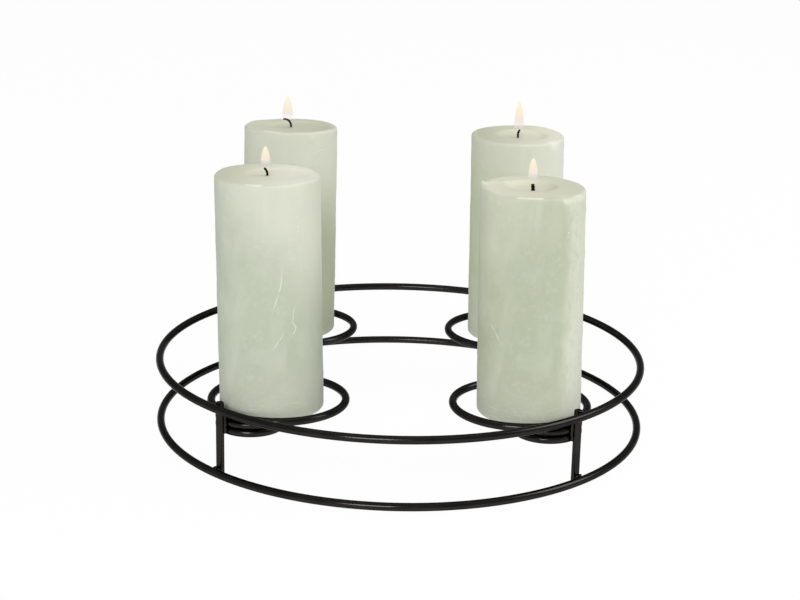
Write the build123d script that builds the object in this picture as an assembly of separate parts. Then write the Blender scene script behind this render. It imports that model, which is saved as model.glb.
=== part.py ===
"""Advent candle holder: two large wire rings on four uprights, with a holder for a pillar candle at each upright.

Every ring and upright is bent or cut from the same round wire and welded. A holder is three wire rings that
all touch the inner side of their upright: two small support rings, one on the other, that the candle stands
on, and a wide guard ring on top of them that keeps it from sliding off.

Frame: millimetres, +Z up, origin on the table under the middle of the wreath, the front towards -Y.
"""
from build123d import *
import math
import os
from typing import NamedTuple

# Wire frame
WREATH_DIAMETER = 350.0     # outside of the two large rings
FRAME_HEIGHT = 51.0         # table to the top of the upper ring
WIRE = 5.5                  # diameter of the round wire
END_CHAMFER = 0.3           # broken edge at both cut ends of an upright

# Candle holders
GUARD_BORE = 85.5           # inside diameter of a guard ring
SUPPORT_BORE = 36.5         # inside diameter of a support ring
GUARD_DROP = 6.8            # upper ring's wire centre down to the guard ring's wire centre

# Welds
WELD_SIZE = 1.5             # radius of a weld bead before it is cut to its groove
WELD_SET = 0.55             # bead's centre to the surface of each wire that it joins
WELD_LEAN = 35.0            # degrees round the large ring's wire, towards the middle of the upright

# Candles
CANDLE_DIAMETER = 70.0
CANDLE_HEIGHT = 156.0       # foot to rim
BURN_STEP = 1.5             # the candles have burnt down unevenly, in steps of this
CANDLE_GAP = 1.0            # candle's side to the guard ring, on the outer side of the wreath
CANDLE_SEAT = 0.2           # candle's foot to the top of the support ring
FOOT_RADIUS = 2.0           # rounded lower edge
RIM_RADIUS = 1.5            # rounded upper edge
RIM_WIDTH = 14.0            # candle's side to the edge of the pool that has melted round its wick
POOL_DEPTH = 2.0            # rim to the pool's flat floor
POOL_WALL = 5.0             # radius of the wall that curves up from the floor

# Wicks, flat-braided cotton that curls over its flat side as it burns
WICK_WIDTH = 2.4
WICK_THICKNESS = 1.2
WICK_CLEARANCE = 0.05       # at the wick's edges in its round channel
WICK_RISE = 2.0             # straight stretch above the pool's floor
WICK_BEND_RADIUS = 5.0      # middle line of the burnt end, where it curls over


class Place(NamedTuple):
    """One holder of the four, with the candle that stands in it."""

    azimuth: float          # degrees round the wreath from +X
    burnt: float            # burn steps that its candle is shorter than CANDLE_HEIGHT
    wick_bend: float        # degrees that the wick's burnt end turns over
    wick_heading: float     # degrees from +X, the way the burnt end points


PLACES = {
    "front_left": Place(225, -2, 54, 175),
    "front_right": Place(315, 1, 40, 100),
    "back_right": Place(45, 1, 45, 10),
    "back_left": Place(135, -1, 100, 185),
}

# Places that follow from the sizes above
WIRE_RADIUS = WIRE / 2
RING_RADIUS = WREATH_DIAMETER / 2 - WIRE_RADIUS
UPRIGHT_AT = RING_RADIUS - WIRE
HOLDER_EDGE = UPRIGHT_AT - WIRE
LOWER_Z = WIRE_RADIUS
UPPER_Z = FRAME_HEIGHT - WIRE_RADIUS
GUARD_Z = UPPER_Z - GUARD_DROP
SUPPORT_UPPER_Z = GUARD_Z - WIRE
SUPPORT_LOWER_Z = SUPPORT_UPPER_Z - WIRE
GUARD_RADIUS = GUARD_BORE / 2 + WIRE_RADIUS
SUPPORT_RADIUS = SUPPORT_BORE / 2 + WIRE_RADIUS
CANDLE_AT = HOLDER_EDGE - WIRE_RADIUS - CANDLE_GAP - CANDLE_DIAMETER / 2
CANDLE_Z = SUPPORT_UPPER_Z + WIRE_RADIUS + CANDLE_SEAT
CHANNEL_RADIUS = WICK_WIDTH / 2 + WICK_CLEARANCE


def at(azimuth):
    """Turns a shape modelled on the +X side to its place round the wreath."""
    return Rot(0, 0, azimuth)


def ring(radius, z, along=0.0):
    """A closed ring of wire, given by its wire's centre line."""
    return Pos(along, 0, z) * Torus(radius, WIRE_RADIUS)


def upright():
    """A straight length of wire, cut flush with the two large rings."""
    rod = Pos(UPRIGHT_AT, 0, 0) * Cylinder(
        WIRE_RADIUS, FRAME_HEIGHT, align=(Align.CENTER, Align.CENTER, Align.MIN)
    )
    return chamfer(rod.edges().filter_by(GeomType.CIRCLE), END_CHAMFER)


def holder_ring(radius, z):
    """A ring that touches the inner side of its upright."""
    return ring(radius, z, HOLDER_EDGE - radius)


def meeting_point(centre, radius, reach):
    """Where a circle about the wreath's radial line cuts a circle of radius reach about the upright."""
    apart = UPRIGHT_AT - centre
    along = (radius**2 - reach**2 + apart**2) / (2 * apart)
    return centre + along, math.sqrt(radius**2 - along**2)


def large_ring_welds(large_ring, z, towards_middle):
    """Two beads in the grooves between a large ring and its upright, one on each side of the upright."""
    reach = WIRE_RADIUS + WELD_SET
    lean = math.radians(WELD_LEAN)
    rise = towards_middle * math.sin(lean)
    x, y = meeting_point(0, RING_RADIUS - reach * math.cos(lean), reach)
    joined = [large_ring, upright()]
    beads = []
    for side in (-1, 1):
        outwards = Vector(x, side * y, 0).normalized()
        to_wire = outwards * math.cos(lean) - Vector(0, 0, rise)
        groove = Plane((x, side * y, z + reach * rise), z_dir=to_wire)
        beads.append(groove * Sphere(WELD_SIZE) - joined)
    return beads


def holder_welds():
    """Two upright seams that tie the three rings of a holder to their upright."""
    reach = WIRE_RADIUS + WELD_SET
    x, y = meeting_point(HOLDER_EDGE - SUPPORT_RADIUS, SUPPORT_RADIUS + reach, reach)
    joined = [
        upright(),
        holder_ring(GUARD_RADIUS, GUARD_Z),
        holder_ring(SUPPORT_RADIUS, SUPPORT_UPPER_Z),
        holder_ring(SUPPORT_RADIUS, SUPPORT_LOWER_Z),
    ]
    seam = Pos(0, 0, SUPPORT_LOWER_Z) * Cylinder(
        WELD_SIZE, GUARD_Z - SUPPORT_LOWER_Z, align=(Align.CENTER, Align.CENTER, Align.MIN)
    )
    seam += Pos(0, 0, SUPPORT_LOWER_Z) * Sphere(WELD_SIZE)
    seam += Pos(0, 0, GUARD_Z) * Sphere(WELD_SIZE)
    return [Pos(x, side * y, 0) * seam - joined for side in (-1, 1)]


def candle_height(place):
    """Foot to rim, as far as this candle has burnt down."""
    return CANDLE_HEIGHT - place.burnt * BURN_STEP


def candle(height):
    """A pillar of wax with rounded edges, a melt pool with a flat floor and a channel for its wick."""
    radius = CANDLE_DIAMETER / 2
    pool_radius = radius - RIM_WIDTH
    floor = height - POOL_DEPTH
    slope = math.acos(1 - POOL_DEPTH / POOL_WALL)
    floor_edge = pool_radius - POOL_WALL * math.sin(slope)

    def on_wall(angle):
        return (floor_edge + POOL_WALL * math.sin(angle), floor + POOL_WALL * (1 - math.cos(angle)))

    with BuildPart() as wax:
        with BuildSketch(Plane.XZ):
            with BuildLine():
                Line((CHANNEL_RADIUS, 0), (radius - FOOT_RADIUS, 0))
                RadiusArc((radius - FOOT_RADIUS, 0), (radius, FOOT_RADIUS), -FOOT_RADIUS)
                Line((radius, FOOT_RADIUS), (radius, height - RIM_RADIUS))
                RadiusArc((radius, height - RIM_RADIUS), (radius - RIM_RADIUS, height), -RIM_RADIUS)
                Line((radius - RIM_RADIUS, height), (pool_radius, height))
                ThreePointArc((pool_radius, height), on_wall(slope / 2), (floor_edge, floor))
                Line((floor_edge, floor), (CHANNEL_RADIUS, floor))
                Line((CHANNEL_RADIUS, floor), (CHANNEL_RADIUS, 0))
            make_face()
        revolve(axis=Axis.Z)
    return wax.part


def wick(place):
    """A cotton wick from the candle's foot up through its channel, with the burnt end curled over."""
    top = candle_height(place) - POOL_DEPTH + WICK_RISE
    bend = math.radians(place.wick_bend)

    def on_bend(angle):
        reach = WICK_BEND_RADIUS * (1 - math.cos(angle))
        return (reach, 0, top + WICK_BEND_RADIUS * math.sin(angle))

    path = Line((0, 0, 0), (0, 0, top)) + ThreePointArc((0, 0, top), on_bend(bend / 2), on_bend(bend))
    braid = sweep(Ellipse(WICK_THICKNESS / 2, WICK_WIDTH / 2), path=path)
    return Rot(0, 0, place.wick_heading) * braid


def build():
    """Every sub-part by name, in its place."""
    upper_ring = ring(RING_RADIUS, UPPER_Z)
    lower_ring = ring(RING_RADIUS, LOWER_Z)
    upper_welds = large_ring_welds(upper_ring, UPPER_Z, -1)
    lower_welds = large_ring_welds(lower_ring, LOWER_Z, 1)
    holder_seams = holder_welds()
    parts = {"upper_ring": upper_ring, "lower_ring": lower_ring}
    groups = {"upper_ring_welds": [], "lower_ring_welds": [], "holder_welds": []}
    for name, place in PLACES.items():
        turn = at(place.azimuth)
        parts[f"upright_{name}"] = turn * upright()
        parts[f"guard_ring_{name}"] = turn * holder_ring(GUARD_RADIUS, GUARD_Z)
        parts[f"upper_support_ring_{name}"] = turn * holder_ring(SUPPORT_RADIUS, SUPPORT_UPPER_Z)
        parts[f"lower_support_ring_{name}"] = turn * holder_ring(SUPPORT_RADIUS, SUPPORT_LOWER_Z)
        stand = turn * Pos(CANDLE_AT, 0, CANDLE_Z) * Rot(0, 0, -place.azimuth)
        parts[f"candle_{name}"] = stand * candle(candle_height(place))
        parts[f"wick_{name}"] = stand * wick(place)
        for group, beads in zip(groups.values(), (upper_welds, lower_welds, holder_seams)):
            group.extend(turn * bead for bead in beads)
    for name, beads in groups.items():
        parts[name] = Compound(children=beads)
    return parts


os.makedirs("parts", exist_ok=True)
for node, shape in build().items():
    export_step(shape, f"parts/{node}.step")
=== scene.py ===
"""Looks of an advent candle holder: a welded wire wreath with four sage-green pillar candles, all lit."""

import math
from typing import NamedTuple

import bmesh
import bpy
from mathutils import Matrix, Vector
from mathutils.kdtree import KDTree


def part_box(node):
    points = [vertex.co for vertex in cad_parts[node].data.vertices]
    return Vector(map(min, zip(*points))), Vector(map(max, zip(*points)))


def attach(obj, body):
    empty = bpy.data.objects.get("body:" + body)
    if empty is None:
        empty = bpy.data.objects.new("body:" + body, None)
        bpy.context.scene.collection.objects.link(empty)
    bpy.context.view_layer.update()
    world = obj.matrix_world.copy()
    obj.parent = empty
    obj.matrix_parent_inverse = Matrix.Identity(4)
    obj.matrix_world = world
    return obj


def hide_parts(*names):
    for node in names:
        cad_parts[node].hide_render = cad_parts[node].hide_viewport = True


bl_info = {
    "name": "Advent candle holder",
    "version": (1, 0, 0),
    "blender": (4, 5, 0),
    "location": "3D View > Sidebar > Candle holder",
    "description": "Wax pillars, burnt wicks, flames and powder coat for a wire candle wreath",
    "category": "Object",
}

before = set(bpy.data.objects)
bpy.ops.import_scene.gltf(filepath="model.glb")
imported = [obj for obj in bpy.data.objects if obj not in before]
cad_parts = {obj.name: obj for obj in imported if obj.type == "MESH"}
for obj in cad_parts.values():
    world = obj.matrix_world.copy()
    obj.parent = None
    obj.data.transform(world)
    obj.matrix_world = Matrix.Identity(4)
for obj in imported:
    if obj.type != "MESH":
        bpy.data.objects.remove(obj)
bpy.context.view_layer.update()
MM = 0.001


class Pillar(NamedTuple):
    """What sets one candle apart from the other three. Lengths in mm, the candle's wick as origin."""

    body: str               # CAD body that carries it
    pool_middle: tuple      # middle of the melt pool, to the right and to the back
    pool_width: tuple       # pool's size, left to right and front to back
    pool_depth: float       # rim to the pool's floor
    shift: float            # how far to the right it stands in its ring
    lean: float             # degrees that it stands out of true, to the right
    tip: float              # how far its front rim stands above the middle of its top
    tone: float             # how light its dye is beside the others'
    fade: float             # how strong the painted glow of the flame on its upper part is, 0 to 1
    glow_from: float        # how far below the rim the painted glow starts
    glow_side: float        # how much further down the painted glow reaches, per mm to the right
    top_glow: tuple         # how strong the painted flame glow on its top is near its left and its right edge, 1 at the brightest
    warmth: float           # how far its dye has yellowed, 0 to 1
    bloom: float            # how much frost and painted light lie on its right side, 0 to 1
    wick_rise: float        # level at which the wick starts to curl, above the rim
    wick_bend: float        # degrees that the wick's burnt end turns over
    wick_heading: float     # degrees from +X, the way the burnt end points
    flame: tuple            # where the glow starts and where the flame ends, above the rim, and its width


PILLARS = {
    "front_left": Pillar(
        "front_left_candle", pool_middle=(8, 2.5), pool_width=(46, 37), pool_depth=1.1, shift=0.5, lean=-1.05,
        tip=0.0, tone=0.975, fade=0.82, glow_from=50, glow_side=0.9, top_glow=(0.2, 1.35), warmth=0.1,
        bloom=0.1, wick_rise=0.0, wick_bend=54, wick_heading=175, flame=(7.5, 18.5, 6.0)),
    "front_right": Pillar(
        "front_right_candle", pool_middle=(-1, 4), pool_width=(34, 33), pool_depth=2.8, shift=0.8, lean=-1.25,
        tip=-0.3, tone=0.94, fade=0.5, glow_from=14, glow_side=-1.6, top_glow=(0.65, 0.3), warmth=0.6,
        bloom=0.65, wick_rise=-1.8, wick_bend=40, wick_heading=100, flame=(6.5, 19.0, 5.9)),
    "back_right": Pillar(
        "back_right_candle", pool_middle=(3, -1), pool_width=(38, 38), pool_depth=2.4, shift=0.0, lean=-0.9,
        tip=-0.7, tone=1.12, fade=0.9, glow_from=50, glow_side=0.6, top_glow=(0.0, 1.0), warmth=0.6,
        bloom=0.3, wick_rise=0.0, wick_bend=45, wick_heading=10, flame=(6.5, 24.9, 7.1)),
    "back_left": Pillar(
        "back_left_candle", pool_middle=(5, 1), pool_width=(48, 44), pool_depth=1.3, shift=0.0, lean=0.5,
        tip=1.2, tone=1.08, fade=0.95, glow_from=50, glow_side=0.4, top_glow=(0.5, 0.2), warmth=0.7,
        bloom=0.1, wick_rise=0.0, wick_bend=100, wick_heading=185, flame=(7.0, 21.9, 7.8)),
}


class RimMark(NamedTuple):
    """A place at a candle's rim or side that has chipped, bulged or burnt unevenly. Lengths in mm."""

    angle: float            # degrees from +X
    inward: float           # how far in from the candle's side
    below: float            # how far below the rim
    out: float              # how far the wax has moved outwards
    up: float               # how far the wax has moved upwards
    reach: float            # how far round the place the wax moves with it


RIM_MARKS = {
    "front_left": (
        RimMark(-35, 0, 0, 0.0, 0.7, 16),
        RimMark(150, 0, 0, 0.0, 0.4, 15),
        RimMark(-95, 0, 0, -0.3, 0.2, 5),
    ),
    "front_right": (
        RimMark(168, 0, 0, 0.6, 2.3, 7),
        RimMark(157, 7.5, 0, 0.0, 1.5, 5),
        RimMark(143, 13, 0, 0.0, 1.1, 5),
        RimMark(-28, 0, 4, 1.4, 0.0, 6),
        RimMark(-52, 0, 0, -1.3, -1.5, 8),
        RimMark(-40, 0, 3, -0.8, 0.0, 5),
        RimMark(-66, 0, 1, -0.45, -0.5, 5),
        RimMark(-34, 0, 2, -0.9, -0.4, 6),
        RimMark(-132, 0, 0, -0.45, -1.0, 13),
        RimMark(-4, 0, 14, 0.45, 0.0, 3.5),
        RimMark(-8, 0, 27, -0.4, 0.0, 3.5),
        RimMark(-3, 0, 43, 0.4, 0.0, 4),
        RimMark(-6, 0, 66, -0.35, 0.0, 4),
        RimMark(-4, 0, 96, 0.35, 0.0, 4),
    ),
    "back_right": (
        RimMark(-40, 0, 2, -1.0, -0.8, 7),
        RimMark(-52, 0, 4, 0.6, 0.0, 4),
        RimMark(60, 0, 0, 0.0, 0.6, 20),
    ),
    "back_left": (
        RimMark(5, 0, 0, 0.0, -0.6, 20),
        RimMark(150, 0, 0, 0.0, 0.5, 16),
        RimMark(-60, 0, 5, 0.7, 0.0, 4),
    ),
}
CHIP_DEPTH = -0.5           # a mark that goes further in than this, in mm, leaves a pale scar
# Painted glints on the rims' rounding, where a lamp would shine off the wax: degrees from +X and mm to either
# side
RIM_GLINTS = {
    "front_left": ((-101, 8),),
    "front_right": ((-101, 9), (-88, 5)),
    "back_right": ((-48, 5),),
    "back_left": ((-110, 10),),
}
# Thin raised creases in the wax, each a line of points: degrees from +X and mm above the foot
CREASES = {
    "front_left": (
        ((-70.8, 105), (-72.9, 94), (-77.2, 85), (-83.5, 74)),
        ((-54.5, 82), (-59.3, 75), (-60.5, 68), (-56.8, 64), (-59.2, 60), (-63.9, 61)),
        ((-69.5, 63), (-73.9, 58), (-79.3, 53), (-85.6, 48)),
    ),
    "front_right": (((-142.6, 68), (-132.8, 61), (-123.2, 54)),),
    "back_right": (((20, 120), (27, 104), (24, 88)),),
    "back_left": (((100, 96), (112, 84), (118, 66)), ((-62, 141), (-48, 144), (-40, 143))),
}


def linear(code):
    """An sRGB hex colour as the linear values that the shaders use."""
    shares = [int(code[i:i + 2], 16) / 255 for i in (1, 3, 5)]
    return [s / 12.92 if s <= 0.04045 else ((s + 0.055) / 1.055) ** 2.4 for s in shares]


def opaque(colour):
    """A linear colour with full alpha, as a colour socket takes it."""
    return (*colour, 1.0)


def length_property(name, description, size, least, most):
    """A length that a user may change, given in mm."""
    return bpy.props.FloatProperty(
        name=name, description=description, default=size * MM, min=least * MM, max=most * MM,
        unit="LENGTH", precision=4)


def colour_property(name, description, code):
    """A colour that a user may change, given as an sRGB hex value."""
    return bpy.props.FloatVectorProperty(
        name=name, description=description, subtype="COLOR", size=3, min=0, max=1, default=linear(code))


class HolderSizes(bpy.types.PropertyGroup):
    """Sizes of the details on the candles, wicks and welds."""

    rim_radius: length_property("Rim rounding", "Radius of a candle's upper edge", 2.0, 0.5, 6)
    rim_width: length_property("Rim width", "Candle's side to the edge of a round melt pool", 14, 4, 25)
    foot_radius: length_property("Foot rounding", "Radius of a candle's lower edge", 2, 0.5, 10)
    taper: bpy.props.FloatProperty(
        name="Taper", description="How much narrower a candle is at its rim than at its foot",
        default=1.2, min=0, max=5, subtype="PERCENTAGE")
    pool_wall: length_property("Pool wall", "Width of the wall that curves up round a pool", 7.7, 4, 9)
    wave: length_property("Wax waves", "Height of the broad waves of a poured candle's side", 0.7, 0, 2)
    pitting: length_property("Wax pitting", "Height of the small pits of rustic wax", 0.22, 0, 1)
    weld_lumps: length_property("Weld lumps", "How far the lumps of a weld bead stand out", 1.4, 0, 3)
    crease_width: length_property("Crease width", "Width of the thin creases in the wax", 1.5, 0.1, 3)
    crease_height: length_property("Crease height", "How far a crease stands out from the wax", 0.25, 0, 1)
    wick_width: length_property("Wick width", "Width of the flat cotton wick", 2.4, 1, 4)
    wick_thickness: length_property("Wick thickness", "Thickness of the flat cotton wick", 1.45, 0.5, 3)
    wick_bend_radius: length_property("Wick curl", "Radius of the burnt end, where it curls over", 5, 3, 12)


class HolderColours(bpy.types.PropertyGroup):
    """Colours of the coat, the wax, the wicks, the flames and the floor."""

    coat: colour_property("Powder coat", "Satin black of the wire", "#2C2B2A")
    wax: colour_property("Wax", "Sage green of the candles' middle", "#C4CCB9")
    # Painted light: the colour that the flame's painted glow and the lift round the foot bring the wax to
    wax_top: colour_property("Wax at the rim", "Paler wax that the flame shines through", "#DDDECF")
    wax_warm: colour_property("Yellowed wax", "Dye that has turned a little towards olive", "#BDC5A4")
    melt: colour_property("Wax on top", "Top of a candle, thin and slightly yellow", "#CBCEB3")
    # Painted light: the flame's glow on the tops, and the painted glints on the rims
    rim: colour_property("Lit wax on top", "Top of a candle where the flame shines through most", "#F6F5E3")
    # Also the colour of the painted light on the candles' right sides
    frost: colour_property("Frost", "Pale bloom, scuffs and creases on the wax", "#E6E8D9")
    char: colour_property("Char", "Burnt end of the wick", "#0C0A09")
    cotton: colour_property("Cotton", "Waxed cotton below the burnt end", "#CFC9B4")
    flame: colour_property("Flame", "Cream middle of a flame", "#FDF0D6")
    floor: colour_property("Floor", "Pale studio floor", "#FFFFFF")


class HolderSettings(bpy.types.PropertyGroup):
    """Everything that the panel offers."""

    sizes: bpy.props.PointerProperty(type=HolderSizes)
    colours: bpy.props.PointerProperty(type=HolderColours)


def node(tree, kind, sockets=(), stops=(), **settings):
    """Adds a node with its settings, its ramp's stops, and values or links on its sockets.

    A node that is given as a value links its first output.
    """
    made = tree.nodes.new(kind)
    for name, value in settings.items():
        setattr(made, name, value)
    if stops:
        ramp = made.color_ramp.elements
        while len(ramp) < len(stops):
            ramp.new(1.0)
        for element, (position, colour) in zip(ramp, stops):
            element.position = position
            element.color = opaque(colour)
    for name, value in dict(sockets).items():
        if isinstance(value, bpy.types.Node):
            value = value.outputs[0]
        if isinstance(value, bpy.types.NodeSocket):
            tree.links.new(value, made.inputs[name])
        else:
            made.inputs[name].default_value = value
    return made


def new_material(name):
    """A material with an empty node tree, and that tree."""
    material = bpy.data.materials.new(name)
    material.use_nodes = True
    material.node_tree.nodes.clear()
    return material, material.node_tree


def per_mm(size):
    """Scale of a pattern whose features are this many mm across, on coordinates in metres."""
    return 1 / (size * MM)


def powder_coat(colours):
    """Satin black polyester powder, baked on steel wire.

    The grains melt into a skin with a faint orange peel, so highlights are soft and slightly broken up. The
    black reflects a little light straight back and swallows what comes in at a glancing angle, so a wire
    shows a thin sheen along its middle and fades to black at both edges.
    """
    material, tree = new_material("powder_coat_satin_black")
    place = node(tree, "ShaderNodeTexCoord").outputs["Object"]
    # Real orange peel is about 0.5 mm; 1.4 mm is the finest that shows at this distance.
    peel = node(tree, "ShaderNodeTexNoise", {"Vector": place, "Scale": per_mm(1.4), "Detail": 2.0})
    wear = node(tree, "ShaderNodeTexNoise", {"Vector": place, "Scale": per_mm(14), "Detail": 3.0})
    worn = [1.4 * c for c in colours.coat]
    tone = node(tree, "ShaderNodeValToRGB", {"Fac": wear}, stops=[(0.35, colours.coat), (0.75, worn)])
    gloss = node(tree, "ShaderNodeMapRange", {
        "Value": wear, "From Min": 0.3, "From Max": 0.7, "To Min": 0.15, "To Max": 0.23})
    skin = node(tree, "ShaderNodeBump", {"Height": peel, "Strength": 0.25, "Distance": 0.06 * MM})
    shader = node(tree, "ShaderNodeBsdfPrincipled", {
        "Base Color": tone, "Metallic": 1.0, "Roughness": gloss, "Normal": skin,
        "Specular Tint": (0.5, 0.5, 0.5, 1.0)})
    node(tree, "ShaderNodeOutputMaterial", {"Surface": shader})
    return material


GLOW_WANDER = 60 * MM       # how far the start of the painted glow wanders up and down
GLOW_LENGTH = 80            # mm in which the wax goes from dyed to lit by the painted glow


def dye_and_painted_light(tree, own, across, pillar, tall, colours):
    """The dye's colour, warmer or cooler in broad patches, with painted light over it: the flame's glow
    towards the rim and a lift round the foot.
    """
    wander = node(tree, "ShaderNodeTexNoise", {"Vector": own, "Scale": per_mm(40), "Detail": 2.0})
    warm = node(tree, "ShaderNodeMapRange", {
        "Value": wander, "From Min": 0.35, "From Max": 0.65,
        "To Min": 0.5 * pillar.warmth, "To Max": 1.2 * pillar.warmth})
    dye = node(tree, "ShaderNodeMix", {
        0: warm, 6: opaque([pillar.tone * c for c in colours.wax]),
        7: opaque([pillar.tone * c for c in colours.wax_warm])}, data_type="RGBA")
    # Painted glow of the flame: the upper part turns towards the lit colour, from a level that wanders and
    # slopes to one side
    slant = node(tree, "ShaderNodeMath", {
        0: across.outputs["X"], 1: pillar.glow_side, 2: across.outputs["Z"]}, operation="MULTIPLY_ADD")
    level = node(tree, "ShaderNodeMath", {0: wander, 1: GLOW_WANDER, 2: slant}, operation="MULTIPLY_ADD")
    upper = node(tree, "ShaderNodeMapRange", {
        "Value": level, "From Min": tall - pillar.glow_from * MM,
        "From Max": tall + (GLOW_LENGTH - pillar.glow_from) * MM,
        "To Min": 0.0, "To Max": pillar.fade}, interpolation_type="SMOOTHSTEP")
    # Painted light round the foot: the lowest 40 mm is lightened towards the lit colour, lifting the shade
    # that falls there
    foot = node(tree, "ShaderNodeMapRange", {
        "Value": across.outputs["Z"], "From Min": 4 * MM, "From Max": 40 * MM, "To Min": 0.45, "To Max": 0.0})
    for pale in (upper, foot):
        dye = node(tree, "ShaderNodeMix", {
            0: pale, 6: dye.outputs[2], 7: opaque(colours.wax_top)}, data_type="RGBA")
    return dye.outputs[2]


def wax_frost(tree, own, across, pillar, cloud, flake):
    """How frosted the wax is, 0 to 1: bloom all over, a right side that is frosted and lit by painted light,
    and places that are scuffed or broken.
    """
    bloom = node(tree, "ShaderNodeMapRange", {
        "Value": cloud, "From Min": 0.44, "From Max": 0.78, "To Min": 0.0, "To Max": 0.34})
    crystal = node(tree, "ShaderNodeMapRange", {
        "Value": flake, "From Min": 0.5, "From Max": 0.78, "To Min": 0.0, "To Max": 0.28})

    # The right side, paler up to an uneven edge: frost, with painted light where the right-hand lamp falls
    side = node(tree, "ShaderNodeMath", {
        0: cloud, 1: 20 * MM, 2: across.outputs["X"]}, operation="MULTIPLY_ADD")
    right_frost_and_light = node(tree, "ShaderNodeMapRange", {
        "Value": side, "From Min": 22 * MM, "From Max": 38 * MM,
        "To Min": 0.0, "To Max": pillar.bloom}, interpolation_type="SMOOTHSTEP")
    broken = node(tree, "ShaderNodeMapRange", {
        "Value": flake, "From Min": 0.3, "From Max": 0.55, "To Min": 0.65, "To Max": 1.0})

    # Scuffs round the foot, where the candle has been pushed into its ring: streaks 1.3 mm high, 9 mm long
    flat = node(tree, "ShaderNodeMapping", {"Vector": own, "Scale": (1.0, 1.0, 7.0)})
    streak = node(tree, "ShaderNodeTexNoise", {"Vector": flat, "Scale": per_mm(9), "Detail": 3.0})
    scuff = node(tree, "ShaderNodeMapRange", {
        "Value": streak, "From Min": 0.55, "From Max": 0.66, "To Min": 0.0, "To Max": 0.45})
    low_down = node(tree, "ShaderNodeMapRange", {
        "Value": across.outputs["Z"], "From Min": 10 * MM, "From Max": 26 * MM, "To Min": 1.0, "To Max": 0.0})

    # Specks of crystal in cells of 6.5 mm, of which about one in four has a speck
    cells = node(tree, "ShaderNodeTexVoronoi", {"Vector": own, "Scale": per_mm(6.5), "Randomness": 1.0})
    chance = node(tree, "ShaderNodeSeparateXYZ", {"Vector": cells.outputs["Color"]})
    rare = node(tree, "ShaderNodeMath", {0: chance.outputs["X"], 1: 0.72}, operation="GREATER_THAN")
    speck = node(tree, "ShaderNodeMapRange", {
        "Value": cells.outputs["Distance"], "From Min": 0.07, "From Max": 0.13, "To Min": 0.8, "To Max": 0.0})

    # Creases, crumbled along their ridges, and the scars of chips
    crease = node(tree, "ShaderNodeAttribute", attribute_name="crease").outputs["Fac"]
    ridge = node(tree, "ShaderNodeMapRange", {
        "Value": crease, "From Min": 0.15, "From Max": 0.7, "To Min": 0.0, "To Max": 0.95})
    crumbled = node(tree, "ShaderNodeMapRange", {
        "Value": flake, "From Min": 0.38, "From Max": 0.56, "To Min": 0.35, "To Max": 1.0})
    bruise = node(tree, "ShaderNodeAttribute", attribute_name="bruise").outputs["Fac"]
    rough = node(tree, "ShaderNodeMath", {0: flake, 1: bruise}, operation="ADD")
    scar = node(tree, "ShaderNodeMapRange", {
        "Value": rough, "From Min": 0.68, "From Max": 1.05, "To Min": 0.0, "To Max": 0.75})

    layers = [crystal, scar]
    for pale, where in ((right_frost_and_light, broken), (scuff, low_down), (speck, rare), (ridge, crumbled)):
        layers.append(node(tree, "ShaderNodeMath", {0: pale, 1: where}, operation="MULTIPLY"))
    frost = bloom
    for layer in layers:
        frost = node(tree, "ShaderNodeMath", {0: frost, 1: layer}, operation="MAXIMUM")
    return frost


def wax_top(tree, across, pillar, side, colours):
    """The side's colour with the top's over it, which is thin, with the flame's glow painted on, brightest on
    one side.
    """
    top = node(tree, "ShaderNodeAttribute", attribute_name="top").outputs["Fac"]
    # Painted light on the top: the flame's glow, stronger towards one side
    lit = node(tree, "ShaderNodeMapRange", {
        "Value": across.outputs["X"], "From Min": -30 * MM, "From Max": 30 * MM,
        "To Min": pillar.top_glow[0], "To Max": pillar.top_glow[1]})
    glow = node(tree, "ShaderNodeMix", {
        0: lit, 6: opaque(colours.melt), 7: opaque(colours.rim)}, data_type="RGBA")
    colour = node(tree, "ShaderNodeMix", {0: top, 6: side, 7: glow.outputs[2]}, data_type="RGBA")

    # Painted glints: a thin pale line along the rim's rounding, where a lamp would shine off the wax
    below = node(tree, "ShaderNodeMath", {0: 1.0, 1: top}, operation="SUBTRACT")
    edge = node(tree, "ShaderNodeMath", {0: top, 1: below}, operation="MULTIPLY")
    edge = node(tree, "ShaderNodeMapRange", {
        "Value": edge, "From Min": 0.12, "From Max": 0.24, "To Min": 0.0, "To Max": 1.0})
    drop = node(tree, "ShaderNodeAttribute", attribute_name="drop").outputs["Fac"]
    drop = node(tree, "ShaderNodeMapRange", {
        "Value": drop, "From Min": 0.1, "From Max": 0.4, "To Min": 0.0, "To Max": 1.0})
    line = node(tree, "ShaderNodeMath", {0: drop, 1: edge}, operation="MULTIPLY")
    return node(tree, "ShaderNodeMix", {
        0: line, 6: colour.outputs[2], 7: opaque(colours.rim)}, data_type="RGBA").outputs[2]


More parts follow.
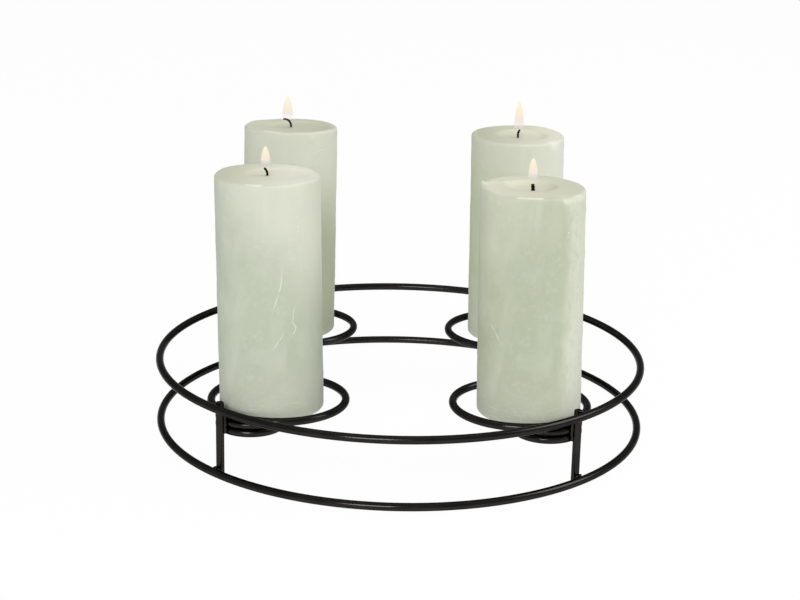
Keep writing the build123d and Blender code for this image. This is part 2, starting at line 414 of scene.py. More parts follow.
def sage_wax(name, pillar, low, high, colours):
    """Dyed paraffin of a rustic pillar, poured cold so that it sets with a crystal bloom.

    The wax is a little translucent. Pale clouds and specks of bloom lie over the sage green, the upper part
    is paler, because the flame lights it from inside, and the melted wax of the pool is a little smoother.
    """
    material, tree = new_material(f"rustic_paraffin_sage_{name}")
    middle = (low + high) / 2
    place = node(tree, "ShaderNodeTexCoord").outputs["Object"]
    own = node(tree, "ShaderNodeMapping", {"Vector": place, "Location": (-middle.x, -middle.y, -low.z)})
    across = node(tree, "ShaderNodeSeparateXYZ", {"Vector": own})

    # Clouds of bloom 17 mm across, drawn out upwards as the cold wax ran down its mould, and flakes of 4 mm
    drawn = node(tree, "ShaderNodeMapping", {"Vector": own, "Scale": (1.0, 1.0, 0.55)})
    cloud = node(tree, "ShaderNodeTexNoise", {
        "Vector": drawn, "Scale": per_mm(17), "Detail": 5.0, "Roughness": 0.6, "Distortion": 0.6})
    flake = node(tree, "ShaderNodeTexNoise", {
        "Vector": own, "Scale": per_mm(4), "Detail": 4.0, "Roughness": 0.65})

    dye = dye_and_painted_light(tree, own, across, pillar, high.z - low.z, colours)
    frost = wax_frost(tree, own, across, pillar, cloud, flake)
    side = node(tree, "ShaderNodeMix", {0: frost, 6: dye, 7: opaque(colours.frost)}, data_type="RGBA")
    colour = wax_top(tree, across, pillar, side.outputs[2], colours)

    dents = node(tree, "ShaderNodeBump", {"Height": cloud, "Strength": 0.35, "Distance": 0.5 * MM})
    grain = node(tree, "ShaderNodeBump", {
        "Height": flake, "Strength": 0.3, "Distance": 0.25 * MM, "Normal": dents})
    matt = node(tree, "ShaderNodeMapRange", {
        "Value": cloud, "From Min": 0.35, "From Max": 0.7, "To Min": 0.5, "To Max": 0.65})
    melt = node(tree, "ShaderNodeAttribute", attribute_name="melt").outputs["Fac"]
    smooth = node(tree, "ShaderNodeMapRange", {
        "Value": melt, "From Min": 0.0, "From Max": 1.0, "To Min": 1.0, "To Max": 0.75})
    gloss = node(tree, "ShaderNodeMath", {0: matt, 1: smooth}, operation="MULTIPLY")
    shader = node(tree, "ShaderNodeBsdfPrincipled", {
        "Base Color": colour, "Roughness": gloss, "Normal": grain, "IOR": 1.44, "Specular IOR Level": 0.14,
        "Subsurface Weight": 0.35, "Subsurface Radius": (1.0, 1.0, 0.8), "Subsurface Scale": 5 * MM})
    node(tree, "ShaderNodeOutputMaterial", {"Surface": shader})
    return material


def charred_cotton(colours):
    """A braided cotton wick: waxed and cream just above the pool, charred to a dry matt black higher up."""
    material, tree = new_material("cotton_wick_charred")
    above = node(tree, "ShaderNodeAttribute", attribute_name="above_pool").outputs["Fac"]
    place = node(tree, "ShaderNodeTexCoord").outputs["Object"]
    crumbs = node(tree, "ShaderNodeTexNoise", {"Vector": place, "Scale": per_mm(0.7), "Detail": 3.0})
    ragged = node(tree, "ShaderNodeMath", {0: crumbs, 1: 0.5, 2: above}, operation="MULTIPLY_ADD")
    tone = node(tree, "ShaderNodeValToRGB", {"Fac": ragged}, stops=[
        (0.3, colours.cotton), (0.7, colours.char)])
    skin = node(tree, "ShaderNodeBump", {"Height": crumbs, "Strength": 0.6, "Distance": 0.2 * MM})
    shader = node(tree, "ShaderNodeBsdfPrincipled", {
        "Base Color": tone, "Normal": skin, "Roughness": 0.85, "Specular IOR Level": 0.15})
    node(tree, "ShaderNodeOutputMaterial", {"Surface": shader})
    return material


def candle_flame(colours):
    """Glowing soot of a flame: clear and faintly violet round the wick, cream above and palest at the tip."""
    material, tree = new_material("candle_flame_glow")
    share = node(tree, "ShaderNodeAttribute", attribute_name="up_flame").outputs["Fac"]
    glow = node(tree, "ShaderNodeValToRGB", {"Fac": share}, stops=[
        (0.0, linear("#EEE6EA")), (0.35, linear("#F3E6E0")), (0.55, linear("#FBEBD6")), (0.75, colours.flame),
        (1.0, linear("#FCF6E8"))])
    body = node(tree, "ShaderNodeValToRGB", {"Fac": share}, stops=[
        (0.12, [0.0] * 3), (0.26, [0.35] * 3), (0.4, [0.85] * 3), (1.0, [0.95] * 3)])
    shader = node(tree, "ShaderNodeBsdfPrincipled", {
        "Emission Color": glow, "Alpha": body, "Base Color": (0.0, 0.0, 0.0, 1.0), "Emission Strength": 1.0,
        "Specular IOR Level": 0.0, "Roughness": 1.0})
    node(tree, "ShaderNodeOutputMaterial", {"Surface": shader})
    return material


FLOOR_WHITE = 0.97          # share of the floor that looks plain white; the rest shows the shadow


def studio_paper(colour):
    """White background paper: matt, and plain white where it is seen, in a gloss and through glass too."""
    material, tree = new_material("studio_paper_white")
    paper = node(tree, "ShaderNodeBsdfDiffuse", {"Color": opaque(colour)})
    white = node(tree, "ShaderNodeEmission", {"Color": opaque(colour), "Strength": 1.0})
    path = node(tree, "ShaderNodeLightPath")
    seen = path.outputs["Is Camera Ray"]
    for ray in ("Is Glossy Ray", "Is Transmission Ray"):
        seen = node(tree, "ShaderNodeMath", {0: seen, 1: path.outputs[ray]}, operation="MAXIMUM")
    seen = node(tree, "ShaderNodeMath", {0: seen, 1: FLOOR_WHITE}, operation="MULTIPLY")
    mixed = node(tree, "ShaderNodeMixShader", {0: seen, 1: paper, 2: white})
    node(tree, "ShaderNodeOutputMaterial", {"Surface": mixed})
    return material


def start(kind, **settings):
    """Adds a primitive with nothing else selected, and returns it with its place in its mesh."""
    bpy.ops.object.select_all(action="DESELECT")
    getattr(bpy.ops.mesh, f"primitive_{kind}_add")(**settings)
    bpy.ops.object.transform_apply(location=True, rotation=True, scale=True)
    return bpy.context.object


def leave_edit_mode():
    """Turns all faces of the piece outwards and goes back to object mode."""
    bpy.ops.mesh.select_all(action="SELECT")
    bpy.ops.mesh.normals_make_consistent(inside=False)
    bpy.ops.object.mode_set(mode="OBJECT")


def pick(piece, kind, test):
    """Selects the vertices, edges or faces of a piece in edit mode that pass a test."""
    bpy.ops.mesh.select_mode(type=kind)
    bpy.ops.mesh.select_all(action="DESELECT")
    mesh = bmesh.from_edit_mesh(piece.data)
    for part in {"VERT": mesh.verts, "EDGE": mesh.edges, "FACE": mesh.faces}[kind]:
        if test(part):
            part.select_set(True)
    bmesh.update_edit_mesh(piece.data)


def push(piece, point, offset, reach):
    """Pulls the wax nearest to a point by an offset, with a smooth falloff round it."""
    mesh = bmesh.from_edit_mesh(piece.data)
    nearest = min(mesh.verts, key=lambda v: (v.co - point).length)
    pick(piece, "VERT", lambda v: v == nearest)
    bpy.ops.transform.translate(
        value=offset, use_proportional_edit=True, proportional_edit_falloff="SMOOTH", proportional_size=reach)


def on_side(axis, radius, angle, height):
    """Point on a candle's side, an angle in degrees from +X round its axis."""
    turn = math.radians(angle)
    return Vector((axis.x + radius * math.cos(turn), axis.y + radius * math.sin(turn), height))


def clamp(value):
    """A value held between 0 and 1."""
    return min(1.0, max(0.0, value))


def nearness(place, spots):
    """1 at any of some points, 0 as far away from each of them as it reaches."""
    return clamp(max((1 - (place - point).length / reach for point, reach in spots), default=0.0))


def mark(piece, name, value):
    """Stores a number with each point of a piece, worked out from the point's place, and returns them."""
    marks = piece.data.attributes.new(name, "FLOAT", "POINT").data
    for vertex, stored in zip(piece.data.vertices, marks):
        stored.value = value(vertex.co)
    return marks


def displace(piece, name, scale, strength, group=""):
    """Moves a piece's surface by a cloud texture and applies the modifier."""
    pattern = bpy.data.textures.new(name, "CLOUDS")
    pattern.noise_scale = scale
    wave = piece.modifiers.new(name, "DISPLACE")
    wave.texture = pattern
    wave.texture_coords = "LOCAL"
    wave.strength = strength
    wave.vertex_group = group
    bpy.context.view_layer.objects.active = piece
    bpy.ops.object.modifier_apply(modifier=name)


def stand(piece, pillar, low):
    """Sets a candle's piece in its ring as it stands: shifted a little, and leaning from its flat foot."""
    slope = math.tan(math.radians(pillar.lean))
    turn = Matrix.Identity(4)
    turn[0][2] = slope
    turn[0][3] = pillar.shift * MM - slope * low.z
    piece.data.transform(turn)


STEEL_NODES = ("ring", "upright", "welds")


class CANDLEHOLDER_OT_frame(bpy.types.Operator):
    """Gives the wire rings, uprights and welds their powder coat"""

    bl_idname = "candle_holder.frame"
    bl_label = "Powder-coated frame"

    def execute(self, context):
        coat = powder_coat(context.scene.candle_holder.colours)
        for name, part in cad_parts.items():
            if any(word in name for word in STEEL_NODES):
                part.data.materials.clear()
                part.data.materials.append(coat)
        return {"FINISHED"}


WELD_NODES = ("upper_ring_welds", "lower_ring_welds", "holder_welds")
WELD_MERGE = 0.001 * MM     # points of the CAD solid's triangles that are this close are one
WELD_GRAIN = 0.25 * MM      # size of the new mesh
WELD_LUMP = 2.4 * MM        # width of a lump
WELD_FLOW = 8               # how often the lumps are smoothed, as molten steel flows


class CANDLEHOLDER_OT_welds(bpy.types.Operator):
    """Models the lumpy weld beads that hold the wires together"""

    bl_idname = "candle_holder.welds"
    bl_label = "Weld beads"

    def execute(self, context):
        settings = context.scene.candle_holder
        for name in WELD_NODES:
            bpy.ops.object.select_all(action="DESELECT")
            piece = bpy.data.objects.new(f"lumpy_{name}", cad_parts[name].data.copy())
            context.scene.collection.objects.link(piece)
            piece.select_set(True)
            context.view_layer.objects.active = piece
            bpy.ops.object.mode_set(mode="EDIT")
            bpy.ops.mesh.select_all(action="SELECT")
            bpy.ops.mesh.remove_doubles(threshold=WELD_MERGE)
            bpy.ops.object.mode_set(mode="OBJECT")
            grain = piece.modifiers.new("grain", "REMESH")
            grain.mode = "VOXEL"
            grain.voxel_size = WELD_GRAIN
            bpy.ops.object.modifier_apply(modifier="grain")
            displace(piece, "weld_lumps", WELD_LUMP, settings.sizes.weld_lumps)
            flow = piece.modifiers.new("flow", "SMOOTH")
            flow.iterations = WELD_FLOW
            bpy.ops.object.modifier_apply(modifier="flow")
            bpy.ops.object.shade_smooth()
            piece.data.materials.clear()
            piece.data.materials.append(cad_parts["upper_ring"].data.materials[0])
            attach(piece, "frame")
            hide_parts(name)
        return {"FINISHED"}


PILLAR_SIDES = 192          # points round a pillar
PILLAR_CUTS = 100           # rows of points up its side
SAME_LEVEL = 0.01 * MM      # points of the rim or the foot lie within this height
TALL_EDGE = 100 * MM        # only the edges up the side are taller than this
FACING = 0.9                # a face looks up or down if its normal does by more than this
ROUNDING_STEPS = 7          # rows of faces in a rounded edge
RIM_STEPS = 4               # rows between the rounded edge and the pool
WALL_STEPS = 8              # rows in the pool's curved wall
FLOOR_STEPS = 3             # evenly wide rows in the pool's floor
FLOOR_STEP = 1.2 * MM       # their width
FLOOR_CUTS = 8              # rows from there to the wick
CHANNEL_RADIUS = 1.25 * MM  # hole for the wick
CHANNEL_INSET = 0.1 * MM    # first step of the face that is drawn together to the hole
FOOT_RING = 12 * MM         # width of the outer ring of faces under the foot
FLAT_FOOT = 2 * MM          # height of the foot that has no waves
WAVE_START = 12 * MM        # height above that in which the waves set in
TIP_REACH = 40 * MM         # how far down a tipped top is felt
TOP_REACH = 6 * MM          # how far below the rim the top's colour can lie
WAVE_LENGTH = 22 * MM       # width of the broad waves
PIT_WIDTH = 3.2 * MM        # width of the small pits
POOL_CALM = 0.8             # share of waves and pits that melting has taken away
CREASE_STEPS = 40           # points on each stretch of a crease
CREASE_REACH = 2 * MM       # faces this near to a crease are divided
CREASE_CUTS = 3             # how finely


class CANDLEHOLDER_OT_pillars(bpy.types.Operator):
    """Models the four wax pillars with their rims, melt pools, chips and creases"""

    bl_idname = "candle_holder.pillars"
    bl_label = "Wax pillars"

    def execute(self, context):
        settings = context.scene.candle_holder
        sizes = settings.sizes
        for name, pillar in PILLARS.items():
            low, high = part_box(f"candle_{name}")
            axis = (low + high) / 2
            radius = (high.x - low.x) / 2
            piece = start("cylinder", vertices=PILLAR_SIDES, radius=radius, depth=high.z - low.z,
                          end_fill_type="NGON", location=axis)
            piece.name = f"pillar_{name}"
            bpy.ops.object.mode_set(mode="EDIT")
            self.body(piece, radius, low.z, high.z, sizes)
            self.pool(piece, pillar, axis, radius, high.z, sizes)
            pick(piece, "EDGE", lambda e: e.is_boundary)
            bpy.ops.mesh.bridge_edge_loops()
            scars = self.chip(piece, RIM_MARKS[name], axis, radius, high.z)
            route, strength = self.route(CREASES[name], axis, radius, low.z)
            pick(piece, "FACE", lambda f: route.find(f.calc_center_median())[2] < CREASE_REACH)
            bpy.ops.mesh.subdivide(number_cuts=CREASE_CUTS)
            leave_edit_mode()
            self.crease(piece, route, strength, axis, sizes)
            self.weather(piece, axis, radius, low.z, high.z, sizes)
            # Places of the painted glints on the rims, kept in the "drop" mark
            drops = [(on_side(axis, radius, angle, high.z), reach * MM) for angle, reach in RIM_GLINTS[name]]
            mark(piece, "bruise", lambda place: nearness(place, scars))
            mark(piece, "drop", lambda place: nearness(place, drops))
            self.settle(piece, pillar, axis, radius, low.z, high.z, sizes.taper / 100)
            piece.data.materials.append(sage_wax(name, pillar, low, high, settings.colours))
            bpy.ops.object.shade_smooth()
            stand(piece, pillar, low)
            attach(piece, pillar.body)
            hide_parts(f"candle_{name}")
        return {"FINISHED"}

    def cap(self, piece, way):
        """Selects the many-sided face that closes a pillar: way is 1 for its top and -1 for its foot."""
        pick(piece, "FACE", lambda f: len(f.verts) == PILLAR_SIDES and way * f.normal.z > FACING)

    def divide(self, piece, cuts):
        """Divides the ring of faces round the selected top face, and selects that face again."""
        edge = {v for f in bmesh.from_edit_mesh(piece.data).faces if f.select for v in f.verts}
        pick(piece, "EDGE", lambda e: len(edge.intersection(e.verts)) == 1)
        bpy.ops.mesh.subdivide(number_cuts=cuts)
        self.cap(piece, 1)

    def body(self, piece, radius, foot, rim, sizes):
        """Rounds a cylinder's edges, divides its side and leaves a hole for the wick in its foot."""
        for z, rounding in ((rim, sizes.rim_radius), (foot, sizes.foot_radius)):
            pick(piece, "EDGE", lambda e: all(abs(v.co.z - z) < SAME_LEVEL for v in e.verts))
            bpy.ops.mesh.bevel(offset=rounding, segments=ROUNDING_STEPS, affect="EDGES")
        pick(piece, "EDGE", lambda e: abs(e.verts[0].co.z - e.verts[1].co.z) > TALL_EDGE)
        bpy.ops.mesh.subdivide(number_cuts=PILLAR_CUTS)
        self.cap(piece, -1)
        bpy.ops.mesh.inset(thickness=FOOT_RING)
        bpy.ops.mesh.inset(thickness=radius - sizes.foot_radius - FOOT_RING - CHANNEL_RADIUS)
        bpy.ops.mesh.delete(type="ONLY_FACE")

    def pool(self, piece, pillar, axis, radius, rim, sizes):
        """Sinks the melt pool into the top and leaves a hole for the wick in its floor."""
        self.cap(piece, 1)
        bpy.ops.mesh.inset(thickness=sizes.rim_width - sizes.rim_radius)
        plain = 2 * (radius - sizes.rim_width)
        width, depth = (size * MM / plain for size in pillar.pool_width)
        bpy.ops.transform.resize(value=(width, depth, 1), center_override=(axis.x, axis.y, rim))
        bpy.ops.transform.translate(value=(pillar.pool_middle[0] * MM, pillar.pool_middle[1] * MM, 0))
        self.divide(piece, RIM_STEPS)
        sunk = pillar.pool_depth * MM
        curve = (sizes.pool_wall ** 2 + sunk ** 2) / (2 * sunk)
        slope = math.asin(sizes.pool_wall / curve)
        angles = [slope * (1 - i / WALL_STEPS) for i in range(WALL_STEPS + 1)]
        for upper, lower in zip(angles, angles[1:]):
            bpy.ops.mesh.inset(
                thickness=curve * (math.sin(upper) - math.sin(lower)),
                depth=curve * (math.cos(upper) - math.cos(lower)))
        for _ in range(FLOOR_STEPS):
            bpy.ops.mesh.inset(thickness=FLOOR_STEP)
        floor = next(f for f in bmesh.from_edit_mesh(piece.data).faces if f.select)
        centre = floor.calc_center_median()
        spread = sum((v.co - centre).length for v in floor.verts) / len(floor.verts)
        bpy.ops.mesh.inset(thickness=CHANNEL_INSET)
        share = CHANNEL_RADIUS / spread
        bpy.ops.transform.resize(value=(share, share, 1), center_override=centre)
        bpy.ops.transform.translate(value=(axis.x - centre.x, axis.y - centre.y, 0))
        self.divide(piece, FLOOR_CUTS)
        bpy.ops.mesh.delete(type="ONLY_FACE")

    def chip(self, piece, marks, axis, radius, rim):
        """Pulls the rim about where it has chipped, bulged or burnt lower, and returns the chips' places."""
        scars = []
        for spot in marks:
            turn = math.radians(spot.angle)
            way = Vector((math.cos(turn), math.sin(turn), 0))
            point = Vector((axis.x, axis.y, rim - spot.below * MM)) + (radius - spot.inward * MM) * way
            push(piece, point, way * spot.out * MM + Vector((0, 0, spot.up * MM)), spot.reach * MM)
            if spot.out < CHIP_DEPTH:
                scars.append((point, spot.reach * MM))
        return scars

    def route(self, creases, axis, radius, foot):
        """A tree of points close together along all creases, and how strong the crease is at each."""
        points, strength = [], []
        for crease in creases:
            spots = [Vector(a).lerp(Vector(b), i / CREASE_STEPS)
                     for a, b in zip(crease, crease[1:]) for i in range(CREASE_STEPS)]
            for i, (angle, up) in enumerate(spots):
                points.append(on_side(axis, radius, angle, foot + up * MM))
                strength.append(math.sqrt(math.sin(math.pi * (i + 0.5) / len(spots))))
        tree = KDTree(len(points))
        for i, point in enumerate(points):
            tree.insert(point, i)
        tree.balance()
        return tree, strength

    def crease(self, piece, route, strength, axis, sizes):
        """Raises the creases out of the candle's side and marks them: 1 along the ridge, 0 beside it."""
        def ridge(place):
            _, index, away = route.find(place)
            return clamp(1 - 2 * away / sizes.crease_width) * strength[index]

        for vertex, raised in zip(piece.data.vertices, mark(piece, "crease", ridge)):
            way = Vector((*(vertex.co.xy - axis.xy), 0)).normalized()
            vertex.co += raised.value * sizes.crease_height * way

    def weather(self, piece, axis, radius, foot, rim, sizes):
        """Marks the top and its melted part, then gives the rest waves and pits. The foot stays flat."""
        edge = 2 * sizes.rim_radius

        def out(place):
            return (place.xy - axis.xy).length

        mark(piece, "top", lambda p: clamp((radius - out(p)) / edge) if p.z > rim - TOP_REACH else 0.0)
        melt = mark(piece, "melt", lambda p: clamp((rim - p.z) / MM) if out(p) < radius - edge else 0.0)
        skin = piece.vertex_groups.new(name="skin")
        for vertex, melted in zip(piece.data.vertices, melt):
            share = clamp((vertex.co.z - foot - FLAT_FOOT) / WAVE_START)
            if out(vertex.co) < 2 * CHANNEL_RADIUS:
                share = 0.0
            skin.add([vertex.index], share * (1 - POOL_CALM * melted.value), "REPLACE")
        displace(piece, "broad_waves", WAVE_LENGTH, sizes.wave, "skin")
        displace(piece, "small_pits", PIT_WIDTH, sizes.pitting, "skin")

    def settle(self, piece, pillar, axis, radius, foot, rim, taper):
        """Narrows the pillar towards its rim and tips its top, which has burnt lower on one side."""
        for vertex in piece.data.vertices:
            share = (vertex.co.z - foot) / (rim - foot)
            narrow = 1 - taper * share
            vertex.co.x = axis.x + (vertex.co.x - axis.x) * narrow
            vertex.co.y = axis.y + (vertex.co.y - axis.y) * narrow
            burnt = max(0.0, 1 - (rim - vertex.co.z) / TIP_REACH)
            vertex.co.z += burnt * pillar.tip * MM * (axis.y - vertex.co.y) / radius


WICK_SIDES = 20             # points round a wick
WICK_STEP = 0.3 * MM        # length of a step along its braid
WICK_SHOWN = 6 * MM         # straight stretch below the curl that is braided too
WICK_TIP = 0.6              # share of its width that the burnt tip keeps
BRAID_PITCH = 1.8 * MM      # from one crossing of the strands to the next
BRAID_SWELL = 0.16          # how much wider the wick is at a crossing


class CANDLEHOLDER_OT_wicks(bpy.types.Operator):
    """Models the flat-braided cotton wicks with their burnt, curled ends"""

    bl_idname = "candle_holder.wicks"
    bl_label = "Burnt wicks"

    def execute(self, context):
        settings = context.scene.candle_holder
        sizes = settings.sizes
        char = charred_cotton(settings.colours)
        for name, pillar in PILLARS.items():
            low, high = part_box(f"candle_{name}")
            axis = (low + high) / 2
            bottom = Vector((axis.x, axis.y, low.z))
            piece = start("circle", vertices=WICK_SIDES, radius=sizes.wick_width / 2, fill_type="NGON",
                          location=bottom)
            piece.name = f"burnt_wick_{name}"
            bpy.ops.object.mode_set(mode="EDIT")
            self.braid(piece, pillar, bottom, high.z, sizes)
            leave_edit_mode()
            floor = high.z - pillar.pool_depth * MM
            mark(piece, "above_pool", lambda place: (place.z - floor) / MM)
            bpy.ops.object.shade_smooth()
            stand(piece, pillar, low)
            piece.data.materials.append(char)
            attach(piece, pillar.body)
            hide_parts(f"wick_{name}")
        return {"FINISHED"}

    def braid(self, piece, pillar, bottom, rim, sizes):
        """Flattens a round face and draws it up through the wax, then step by step along the curl."""
        heading = math.radians(pillar.wick_heading)
        way = Vector((math.cos(heading), math.sin(heading), 0))
        up = Vector((0, 0, 1))
        pick(piece, "VERT", lambda v: True)
        share = sizes.wick_thickness / sizes.wick_width
        bpy.ops.transform.resize(value=(share, 1, 1), center_override=bottom)
        bpy.ops.transform.rotate(value=-heading, orient_axis="Z", center_override=bottom)
        curl = Vector((bottom.x, bottom.y, rim + pillar.wick_rise * MM))
        buried = curl.z - bottom.z - WICK_SHOWN
        length = WICK_SHOWN + sizes.wick_bend_radius * math.radians(pillar.wick_bend)
        pick(piece, "FACE", lambda f: True)
        bpy.ops.mesh.extrude_region_move(TRANSFORM_OT_translate={"value": (0, 0, buried)})
        point, turned, swollen = bottom + buried * up, 0.0, 1.0
        steps = round(length / WICK_STEP)
        for i in range(1, steps + 1):
            along = length * i / steps - WICK_SHOWN
            bend = max(0.0, along / sizes.wick_bend_radius)
            there = curl + min(0.0, along) * up + sizes.wick_bend_radius * (
                (1 - math.cos(bend)) * way + math.sin(bend) * up)
            bpy.ops.mesh.extrude_region_move(TRANSFORM_OT_translate={"value": there - point})
            self.turn(piece, up.cross(way), bend - turned, there)
            swell = 1 + BRAID_SWELL * math.sin(2 * math.pi * length * i / steps / BRAID_PITCH)
            self.swell(swell / swollen, there)
            point, turned, swollen = there, bend, swell
        self.swell(WICK_TIP, point)

    def turn(self, piece, line, angle, centre):
        """Turns the selected end of the wick about a line through its middle."""
        spin = Matrix.Rotation(angle, 4, line)
        mesh = bmesh.from_edit_mesh(piece.data)
        for vertex in mesh.verts:
            if vertex.select:
                vertex.co = centre + spin @ (vertex.co - centre)
        bmesh.update_edit_mesh(piece.data)

    def swell(self, share, centre):
        """Widens or narrows the selected end of the wick, as the strands of its braid cross."""
        bpy.ops.transform.resize(value=(share, share, share), center_override=centre)


FLAME_STEPS = 36            # points up a flame's outline
FLAME_SIDES = 40            # points round it
FLAME_MERGE = 0.005 * MM    # points at its seam and poles that are this close are one
FLAME_POINT = 0.65          # 0.5 is a round end, and more draws it out to a point
FLAME_TAIL = 0.3            # clear tail below the glow, as a share of the glow's height
FLAME_OVER_CURL = 0.45      # how far along the reach of the wick's curl the flame stands


class CANDLEHOLDER_OT_flames(bpy.types.Operator):
    """Models the four flames as slim drops of glowing gas over the wicks"""

    bl_idname = "candle_holder.flames"
    bl_label = "Flames"

    def execute(self, context):
        settings = context.scene.candle_holder
        sizes = settings.sizes
        glow = candle_flame(settings.colours)
        for name, pillar in PILLARS.items():
            low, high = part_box(f"candle_{name}")
            axis = (low + high) / 2
            bend = math.radians(pillar.wick_bend)
            heading = math.radians(pillar.wick_heading)
            reach = FLAME_OVER_CURL * sizes.wick_bend_radius * (1 - math.cos(bend))
            foot = Vector((axis.x + reach * math.cos(heading), axis.y + reach * math.sin(heading), 0))
            start_up, tip_up, width = (size * MM for size in pillar.flame)
            tall = (tip_up - start_up) * (1 + FLAME_TAIL)
            bottom = high.z + tip_up - tall
            piece = start("plane", size=MM, location=(foot.x, foot.y, bottom))
            piece.name = f"flame_{name}"
            bpy.ops.object.mode_set(mode="EDIT")
            self.drop(piece, foot, bottom, self.outline(width / 2, tall))
            leave_edit_mode()
            mark(piece, "up_flame", lambda place: (place.z - bottom) / tall)
            bpy.ops.object.shade_smooth()
            stand(piece, pillar, low)
            piece.data.materials.append(glow)
            piece.visible_shadow = False
            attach(piece, pillar.body)
        return {"FINISHED"}

    def drop(self, piece, foot, bottom, outline):
        """Keeps one corner of a plane, draws it along a flame's outline and spins that into a closed drop."""
        pick(piece, "VERT", lambda v: v.index > 0)
        bpy.ops.mesh.delete(type="VERT")
        pick(piece, "VERT", lambda v: True)
        mesh = bmesh.from_edit_mesh(piece.data)
        mesh.verts.ensure_lookup_table()
        mesh.verts[0].co = foot + Vector((0, 0, bottom))
        bmesh.update_edit_mesh(piece.data)
        for (r0, z0), (r1, z1) in zip(outline, outline[1:]):
            bpy.ops.mesh.extrude_vertices_move(TRANSFORM_OT_translate={"value": (r1 - r0, 0, z1 - z0)})
        bpy.ops.mesh.select_all(action="SELECT")
        bpy.ops.mesh.spin(steps=FLAME_SIDES, angle=2 * math.pi, center=foot, axis=(0, 0, 1))
        bpy.ops.mesh.select_all(action="SELECT")
        bpy.ops.mesh.remove_doubles(threshold=FLAME_MERGE)

    def outline(self, half_width, tall):
        """Radius and height of a flame from its round tail to its blunt point."""
        line = []
        for i in range(FLAME_STEPS + 1):
            share = -FLAME_TAIL + (1 + FLAME_TAIL) * (1 - math.cos(math.pi * i / FLAME_STEPS)) / 2
            if share < 0:
                swell = math.sqrt(max(0.0, 1 - (share / FLAME_TAIL) ** 2))
            else:
                swell = max(0.0, 1 - share ** 2) ** FLAME_POINT
            line.append((half_width * swell, tall * (share + FLAME_TAIL) / (1 + FLAME_TAIL)))
        return line


class Softbox(NamedTuple):
    """A square studio lamp that faces the candles, in metres and watts."""

    place: tuple
    size: float
    power: float


SOFTBOXES = {
    "right_softbox": Softbox((1.6, 0.02, 1.3), 1.1, 15),
    "front_left_softbox": Softbox((-0.42, -2.0, 0.95), 0.75, 19),
    "top_softbox": Softbox((0.0, 0.0, 2.2), 1.8, 3),
}
LIT_POINT = Vector((0, 0, 0.09))
ROOM_LIGHT = 0.42           # strength of the even, dim light from all round
FLOOR_SIZE = 14             # metres
# Camera, in metres, degrees and mm
CAMERA_PLACE = (0.0, -1.1949, 0.4467)
CAMERA_PITCH = 16.69
CAMERA_YAW = -0.05
CAMERA_ROLL = 1.25
CAMERA_LENS = 78.4
CAMERA_SENSOR = 36


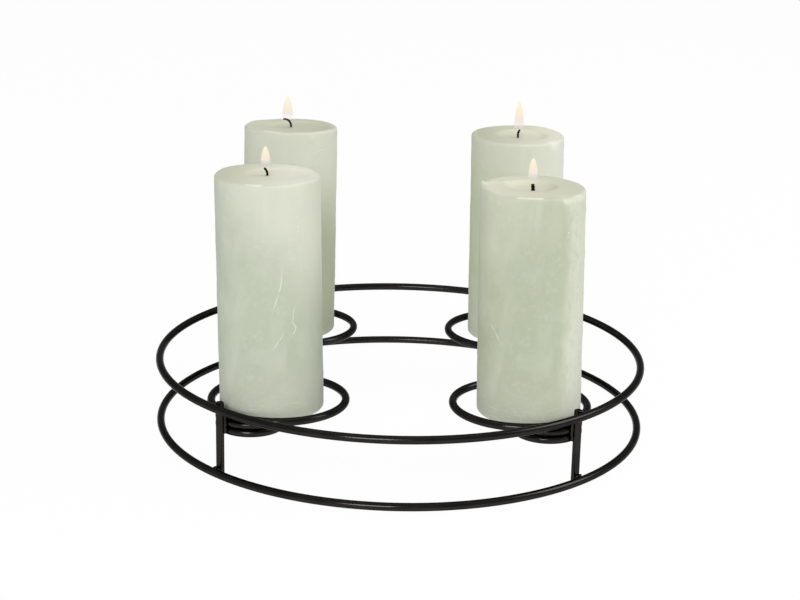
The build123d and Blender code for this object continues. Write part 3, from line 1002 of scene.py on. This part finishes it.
class CANDLEHOLDER_OT_stage(bpy.types.Operator):
    """Sets up the pale floor, the studio light and the camera"""

    bl_idname = "candle_holder.stage"
    bl_label = "Studio"

    def execute(self, context):
        self.floor(context.scene.candle_holder.colours.floor)
        self.surroundings(context.scene)
        for name, softbox in SOFTBOXES.items():
            self.lamp(context.scene, name, softbox)
        self.camera(context.scene)
        context.scene.view_settings.view_transform = "Standard"
        return {"FINISHED"}

    def floor(self, colour):
        """Lays out the paper that the holder stands on."""
        floor = start("plane", size=FLOOR_SIZE)
        floor.name = "studio_floor"
        floor.data.materials.append(studio_paper(colour))

    def surroundings(self, scene):
        """Gives the room an even, dim light."""
        scene.world = bpy.data.worlds.new("studio")
        scene.world.use_nodes = True
        tree = scene.world.node_tree
        tree.nodes.clear()
        dim = node(tree, "ShaderNodeBackground", {"Color": (1, 1, 1, 1), "Strength": ROOM_LIGHT})
        node(tree, "ShaderNodeOutputWorld", {"Surface": dim})

    def lamp(self, scene, name, softbox):
        """Sets up a soft box and turns it to the candles."""
        light = bpy.data.lights.new(name, "AREA")
        light.shape = "SQUARE"
        light.size = softbox.size
        light.energy = softbox.power
        lamp = bpy.data.objects.new(name, light)
        scene.collection.objects.link(lamp)
        lamp.location = softbox.place
        lamp.rotation_euler = (LIT_POINT - lamp.location).to_track_quat("-Z", "Y").to_euler()

    def camera(self, scene):
        """Sets up the camera at the photograph's viewing angle."""
        lens = bpy.data.cameras.new("photo_camera")
        lens.lens = CAMERA_LENS
        lens.sensor_width = CAMERA_SENSOR
        camera = bpy.data.objects.new("photo_camera", lens)
        scene.collection.objects.link(camera)
        pitch, yaw = math.radians(CAMERA_PITCH), math.radians(CAMERA_YAW)
        ahead = Vector((math.sin(yaw) * math.cos(pitch), math.cos(yaw) * math.cos(pitch), -math.sin(pitch)))
        level = ahead.cross(Vector((0, 0, 1))).normalized()
        above = level.cross(ahead)
        axes = Matrix((level, above, -ahead)).transposed()
        axes = axes @ Matrix.Rotation(math.radians(CAMERA_ROLL), 3, "Z")
        camera.matrix_world = Matrix.Translation(CAMERA_PLACE) @ axes.to_4x4()
        scene.camera = camera


STEPS = (
    CANDLEHOLDER_OT_frame,
    CANDLEHOLDER_OT_welds,
    CANDLEHOLDER_OT_pillars,
    CANDLEHOLDER_OT_wicks,
    CANDLEHOLDER_OT_flames,
    CANDLEHOLDER_OT_stage,
)


class CANDLEHOLDER_PT_panel(bpy.types.Panel):
    """Lists the pieces of the candle holder and what can be changed on them"""

    bl_label = "Candle holder"
    bl_idname = "CANDLEHOLDER_PT_panel"
    bl_space_type = "VIEW_3D"
    bl_region_type = "UI"
    bl_category = "Candle holder"

    def draw(self, context):
        settings = context.scene.candle_holder
        for group in (settings.sizes, settings.colours):
            for name in group.__annotations__:
                self.layout.prop(group, name)
        for step in STEPS:
            self.layout.operator(step.bl_idname)


CLASSES = (HolderSizes, HolderColours, HolderSettings, *STEPS, CANDLEHOLDER_PT_panel)


def register():
    for kind in CLASSES:
        bpy.utils.register_class(kind)
    bpy.types.Scene.candle_holder = bpy.props.PointerProperty(type=HolderSettings)


def unregister():
    del bpy.types.Scene.candle_holder
    for kind in reversed(CLASSES):
        bpy.utils.unregister_class(kind)


def main():
    register()
    bpy.ops.candle_holder.frame()
    bpy.ops.candle_holder.welds()
    bpy.ops.candle_holder.pillars()
    bpy.ops.candle_holder.wicks()
    bpy.ops.candle_holder.flames()
    bpy.ops.candle_holder.stage()


if __name__ == "__main__":
    main()
